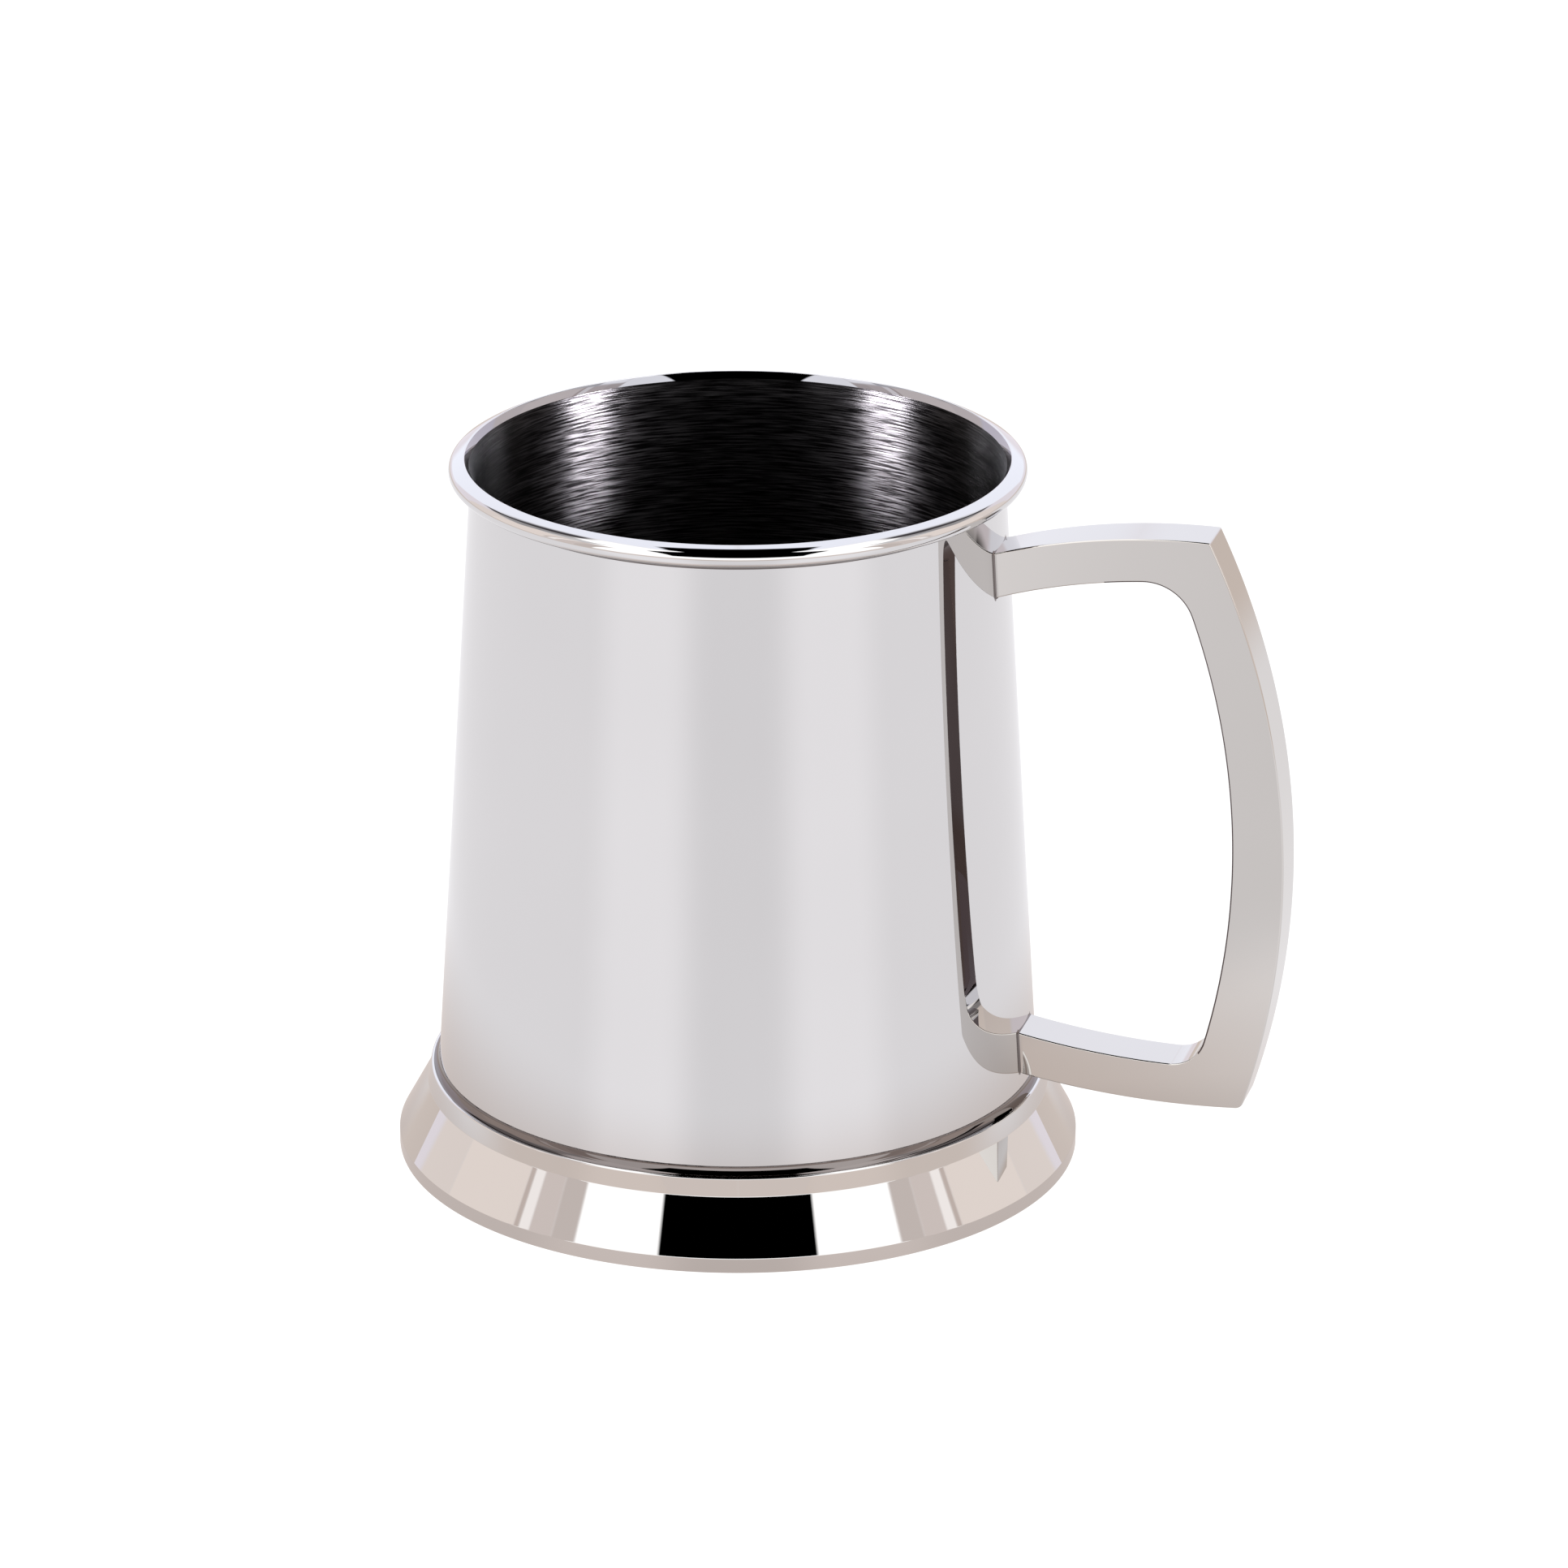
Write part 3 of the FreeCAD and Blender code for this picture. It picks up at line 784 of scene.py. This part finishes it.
camera_data = bpy.data.cameras.new("camera")
camera_data.lens = LENS_MM
camera_data.sensor_width = 36.0
camera_data.shift_x = FRAMING_SHIFT
camera_data.clip_start = 0.05
camera_data.clip_end = 20.0
camera = bpy.data.objects.new("camera", camera_data)
camera.location = (
    VIEW_DISTANCE * math.sin(VIEW_TURN),
    -VIEW_DISTANCE * math.cos(VIEW_TURN),
    VIEW_HEIGHT,
)
camera.rotation_euler = (math.pi / 2 - VIEW_DIP, 0, VIEW_TURN)
bpy.context.scene.collection.objects.link(camera)
bpy.context.scene.camera = camera
bpy.context.scene.view_settings.view_transform = "Standard"

# ---------------------------------------------------------------------------------------
# Studio. A white tent round a pale table: bright cloth in front and overhead, warm paper to
# the sides, cooler cloth behind, and a dark gap that runs from the front up over the top.

DEGREES = 180 / math.pi
STUDIO_LEVEL = 1.14


def studio_bearings(tree, direction, turn):
    """How far round from the front a direction points, how high it points, how far it has
    passed up over the top, all in degrees, and its sideways share. Both sides are alike."""
    turned = add_node(
        tree, "ShaderNodeVectorRotate", {"Vector": direction, "Angle": -turn}, rotation_type="Z_AXIS"
    )
    parts = add_node(tree, "ShaderNodeSeparateXYZ", {0: turned.outputs[0]})
    aside = add_node(tree, "ShaderNodeMath", {0: parts.outputs["X"]}, operation="ABSOLUTE")
    ahead = add_node(
        tree, "ShaderNodeMath", {0: parts.outputs["Y"], 1: -1.0}, operation="MULTIPLY"
    )
    bearing = add_node(
        tree, "ShaderNodeMath", {0: aside.outputs[0], 1: ahead.outputs[0]}, operation="ARCTAN2"
    )
    height = add_node(tree, "ShaderNodeMath", {0: parts.outputs["Z"]}, operation="ARCSINE")
    over = add_node(
        tree, "ShaderNodeMath", {0: parts.outputs["Z"], 1: ahead.outputs[0]}, operation="ARCTAN2"
    )
    angles = []
    for angle in (bearing, height, over):
        scaled = {0: angle.outputs[0], 1: DEGREES}
        angles.append(add_node(tree, "ShaderNodeMath", scaled, operation="MULTIPLY").outputs[0])
    return (*angles, aside.outputs[0])


def window(tree, value, low, high, blur):
    """1 where the value lies between low and high, fading out over blur at both ends."""
    sides = []
    for edge, before, after in ((low, 0.0, 1.0), (high, 1.0, 0.0)):
        side = add_node(
            tree,
            "ShaderNodeMapRange",
            {
                "Value": value,
                "From Min": edge - blur,
                "From Max": edge + blur,
                "To Min": before,
                "To Max": after,
            },
            interpolation_type="SMOOTHSTEP",
        )
        sides.append(side.outputs[0])
    both = {0: sides[0], 1: sides[1]}
    return add_node(tree, "ShaderNodeMath", both, operation="MULTIPLY").outputs[0]


def lay_over(tree, under, mask, colour):
    """Lay a colour over what is there, where the mask is 1."""
    layers = {"Factor": mask, "A": under, "B": (*colour, 1)}
    return add_node(tree, "ShaderNodeMix", layers, data_type="RGBA").outputs["Result"]


world = bpy.data.worlds.new("tent")
bpy.context.scene.world = world
world.use_nodes = True
sky = world.node_tree
for node in list(sky.nodes):
    sky.nodes.remove(node)
gaze = add_node(sky, "ShaderNodeTexCoord").outputs["Generated"]
bearing, height, over, sideways = studio_bearings(sky, gaze, VIEW_TURN)

# Each cloth or sheet of paper: how far round, how high, how soft its edge, and its colour.
TENT = [
    ((-1, 58), (-90, 4), 2.0, (0.72, 0.64, 0.60)),
    ((-1, 58), (4, 91), 1.0, (1.3, 1.3, 1.3)),
    ((58, 66.5), (-90, 44), 0.8, (0.64, 0.57, 0.54)),
    ((66.5, 75), (-90, 44), 0.8, (0.72, 0.64, 0.61)),
    ((75, 79), (6, 44), 0.6, (1.05, 1.0, 0.98)),
    ((79, 81), (6, 44), 0.6, (0.62, 0.53, 0.49)),
    ((81, 110), (-90, 44), 0.6, (0.9, 0.81, 0.76)),
    ((110, 128), (-90, 33), 1.0, (0.84, 0.76, 0.72)),
    ((128, 181), (-90, 33), 2.0, (0.86, 0.81, 0.87)),
    ((58, 106), (44, 91), 3.0, (1.4, 1.4, 1.4)),
    ((73, 106), (42, 56), 1.5, (0.66, 0.65, 0.66)),
    ((106, 132), (33, 57), 3.0, (0.35, 0.34, 0.35)),
    ((132, 147), (33, 58), 2.0, (0.06, 0.055, 0.06)),
    ((147, 181), (8, 91), 3.0, (1.0, 1.03, 1.14)),
    ((106, 147), (58, 91), 2.0, (1.35, 1.35, 1.37)),
]
colour = add_node(sky, "ShaderNodeRGB").outputs[0]
colour.default_value = (0.8, 0.76, 0.75, 1)
for around, up, blur, shade in TENT:
    mask = add_node(
        sky,
        "ShaderNodeMath",
        {0: window(sky, bearing, *around, blur), 1: window(sky, height, *up, blur)},
        operation="MULTIPLY",
    )
    colour = lay_over(sky, colour, mask.outputs[0], shade)

# The dark gap is a band that narrows as it passes from the front over the top.
GAP_START, GAP_END = 30.5, 114
GAP_HALF_FRONT, GAP_HALF_TOP = 0.4, 0.17
GAP_EDGE = 0.008
gap_half = add_node(
    sky,
    "ShaderNodeMapRange",
    {
        "Value": over,
        "From Min": 72,
        "From Max": 96,
        "To Min": GAP_HALF_FRONT,
        "To Max": GAP_HALF_TOP,
    },
    interpolation_type="SMOOTHSTEP",
)
inside = add_node(
    sky, "ShaderNodeMath", {0: gap_half.outputs[0], 1: sideways}, operation="SUBTRACT"
)
across = add_node(
    sky,
    "ShaderNodeMapRange",
    {"Value": inside.outputs[0], "From Min": -GAP_EDGE, "From Max": GAP_EDGE},
)
gap = add_node(
    sky,
    "ShaderNodeMath",
    {0: across.outputs[0], 1: window(sky, over, GAP_START, GAP_END, 0.7)},
    operation="MULTIPLY",
)
colour = lay_over(sky, colour, gap.outputs[0], (0.0, 0.0, 0.0))

# Two low lamps, one on each side of the front. The mirror finishes are kept free of them, so
# they light only the brushed inside, which draws each one out into an upright streaked band.
LAMP_COLOUR = (650.0, 650.0, 668.0)
LAMP_ROUND = (60, 77)
LAMP_UP = (5, 20)
path = add_node(sky, "ShaderNodeLightPath").outputs
lamps = add_node(
    sky,
    "ShaderNodeMath",
    {0: window(sky, bearing, *LAMP_ROUND, 1.0), 1: window(sky, height, *LAMP_UP, 1.0)},
    operation="MULTIPLY",
)
soft = add_node(
    sky, "ShaderNodeMath", {0: 1.0, 1: path["Is Singular Ray"]}, operation="SUBTRACT"
)
lit = add_node(
    sky, "ShaderNodeMath", {0: lamps.outputs[0], 1: soft.outputs[0]}, operation="MULTIPLY"
)
colour = lay_over(sky, colour, lit.outputs[0], LAMP_COLOUR)
colour = lay_over(sky, colour, path["Is Camera Ray"], (1.0, 1.0, 1.0))
light = add_node(sky, "ShaderNodeBackground", {"Color": colour, "Strength": STUDIO_LEVEL})
out = add_node(sky, "ShaderNodeOutputWorld")
sky.links.new(light.outputs[0], out.inputs["Surface"])

# The table: plain and pale, and plain white where the camera meets it. Seen in the metal it is
# deeper and warmer close to the foot, a painted shadow, and where it is met at a low angle; a
# touch lighter to the front's two sides, a painted pool of light; and a touch dimmer straight in
# front, painted shade.
TABLE_REACH = 2.5
TABLE_CENTRE_SHIFT = 24 * MM
table_mesh = bpy.data.meshes.new("table")
table_mesh.from_pydata(
    [(x * TABLE_REACH, y * TABLE_REACH, 0) for x, y in ((-1, -1), (1, -1), (1, 1), (-1, 1))],
    [],
    [(0, 1, 2, 3)],
)
table = bpy.data.objects.new("table", table_mesh)
bpy.context.scene.collection.objects.link(table)

table_finish = bpy.data.materials.new("pale table with painted shade")
table_finish.use_nodes = True
table_mesh.materials.append(table_finish)
tree = table_finish.node_tree
tree.nodes.remove(tree.nodes["Principled BSDF"])
place = add_node(tree, "ShaderNodeTexCoord").outputs["Object"]
nearer = Vector((math.sin(VIEW_TURN), -math.cos(VIEW_TURN), 0)) * TABLE_CENTRE_SHIFT
from_foot = add_node(tree, "ShaderNodeVectorMath", {0: place, 1: nearer}, operation="SUBTRACT")
around, _, _, _ = studio_bearings(tree, from_foot.outputs[0], VIEW_TURN)
distance = add_node(tree, "ShaderNodeVectorMath", {0: place}, operation="LENGTH").outputs["Value"]
# Painted shadow: the table darkens and warms towards the foot.
foot_shadow = add_node(
    tree,
    "ShaderNodeMapRange",
    {"Value": distance, "From Min": 0.05, "From Max": 0.13},
    interpolation_type="SMOOTHSTEP",
)
tone = add_node(
    tree,
    "ShaderNodeMix",
    {"Factor": foot_shadow.outputs[0], "A": (0.62, 0.55, 0.52, 1), "B": (0.84, 0.83, 0.85, 1)},
    data_type="RGBA",
).outputs["Result"]
low_gaze = add_node(tree, "ShaderNodeLayerWeight", {"Blend": 0.5}).outputs["Facing"]
grazing = add_node(
    tree,
    "ShaderNodeMapRange",
    {"Value": low_gaze, "From Min": 0.8, "From Max": 0.9},
    interpolation_type="SMOOTHSTEP",
)
tone = lay_over(tree, tone, grazing.outputs[0], (0.68, 0.6, 0.555))
# Painted light and shade by bearing: lighter to the front's two sides, dimmer in front.
light_pool = window(tree, around, 22, 56, 9)
lift = add_node(tree, "ShaderNodeMapRange", {"Value": light_pool, "To Min": 1.0, "To Max": 1.1})
front_shade = window(tree, around, -30, 17, 9)
drop = add_node(tree, "ShaderNodeMapRange", {"Value": front_shade, "To Min": 1.0, "To Max": 0.93})
both = add_node(
    tree, "ShaderNodeMath", {0: lift.outputs[0], 1: drop.outputs[0]}, operation="MULTIPLY"
)
tone = add_node(
    tree, "ShaderNodeVectorMath", {0: tone, "Scale": both.outputs[0]}, operation="SCALE"
).outputs[0]
seen = add_node(tree, "ShaderNodeLightPath").outputs["Is Camera Ray"]
tone = lay_over(tree, tone, seen, (1.0, 1.0, 1.0))
glow = add_node(tree, "ShaderNodeEmission", {"Color": tone, "Strength": STUDIO_LEVEL})
tree.links.new(glow.outputs[0], tree.nodes["Material Output"].inputs["Surface"])
